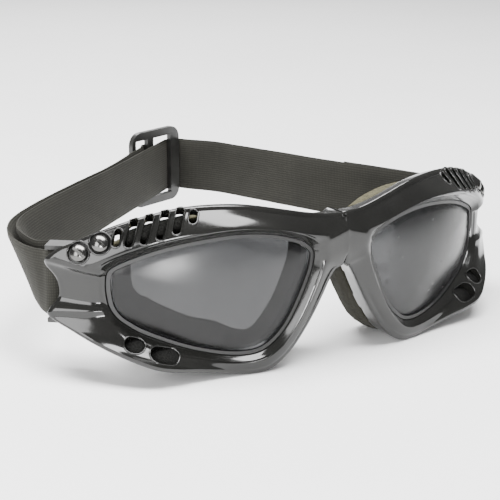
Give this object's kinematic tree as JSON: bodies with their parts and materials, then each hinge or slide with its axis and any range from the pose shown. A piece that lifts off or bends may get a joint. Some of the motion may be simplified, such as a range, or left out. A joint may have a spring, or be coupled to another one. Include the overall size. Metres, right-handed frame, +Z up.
{
  "type": "motorcycle goggles",
  "caption": "Wraparound riding goggles: one-piece vented frame, inset smoke lenses, face foam and an elastic strap with a tri-glide adjuster.",
  "frame": {"origin": "On the resting plane, below the middle of the whole object with its strap laid out.", "axes": "+Z up; the lenses face -Y; the wearer's right eye is at -X; the frame is symmetric about X = 0."},
  "size_m": [0.1565, 0.1413, 0.0491],
  "materials": {
    "frame_front": "glossy black moulded plastic",
    "lens_right": "smoke tint, polished",
    "lens_left": "smoke tint, polished",
    "lens_seal_right": "black seal",
    "lens_seal_left": "black seal",
    "face_foam_right": "open-cell foam",
    "face_foam_left": "open-cell foam",
    "brow_filter_right": "filter foam",
    "brow_filter_left": "filter foam",
    "cheek_filter_right": "filter foam",
    "cheek_filter_left": "filter foam",
    "strap_anchor_right": "satin black moulded plastic",
    "strap_anchor_left": "satin black moulded plastic",
    "anchor_screws_right": "bright plated steel",
    "anchor_screws_left": "bright plated steel",
    "strap_loop_right": "woven elastic",
    "strap_loop_left": "woven elastic",
    "strap_band_right": "woven elastic",
    "strap_band_rear": "woven elastic",
    "strap_band_left": "woven elastic",
    "strap_return": "woven elastic",
    "strap_tail_left": "woven elastic",
    "bar_tack_left": "sewn thread",
    "tri_glide": "satin black moulded plastic",
    "strap_end": "woven elastic",
    "bar_tack_end": "sewn thread"
  },
  "bodies": {
    "frame": {"frame_front": "frame_front", "lens_right": "lens_right", "lens_left": "lens_left", "lens_seal_right": "lens_seal_right", "lens_seal_left": "lens_seal_left", "face_foam_right": "face_foam_right", "face_foam_left": "face_foam_left", "brow_filter_right": "brow_filter_right", "brow_filter_left": "brow_filter_left", "cheek_filter_right": "cheek_filter_right", "cheek_filter_left": "cheek_filter_left", "strap_anchor_right": "strap_anchor_right", "strap_anchor_left": "strap_anchor_left", "anchor_screws_right": "anchor_screws_right", "anchor_screws_left": "anchor_screws_left", "strap_loop_right": "strap_loop_right", "strap_loop_left": "strap_loop_left"},
    "strap": {"strap_band_right": "strap_band_right", "strap_band_rear": "strap_band_rear", "strap_band_left": "strap_band_left", "strap_return": "strap_return", "strap_tail_left": "strap_tail_left", "bar_tack_left": "bar_tack_left"},
    "slider": {"tri_glide": "tri_glide", "strap_end": "strap_end", "bar_tack_end": "bar_tack_end"}
  },
  "joints": [
    {"name": "strap_swing", "type": "hinge", "parent": "frame", "child": "strap", "pos_m": [0, -0.0319, 0.0262], "axis": [1, 0, 0], "range_deg": [-7, 25]},
    {"name": "glide_slide", "type": "slide", "parent": "strap", "child": "slider", "axis": [-0.7698, -0.6383, 0], "range_m": [0, 0.02]}
  ]
}
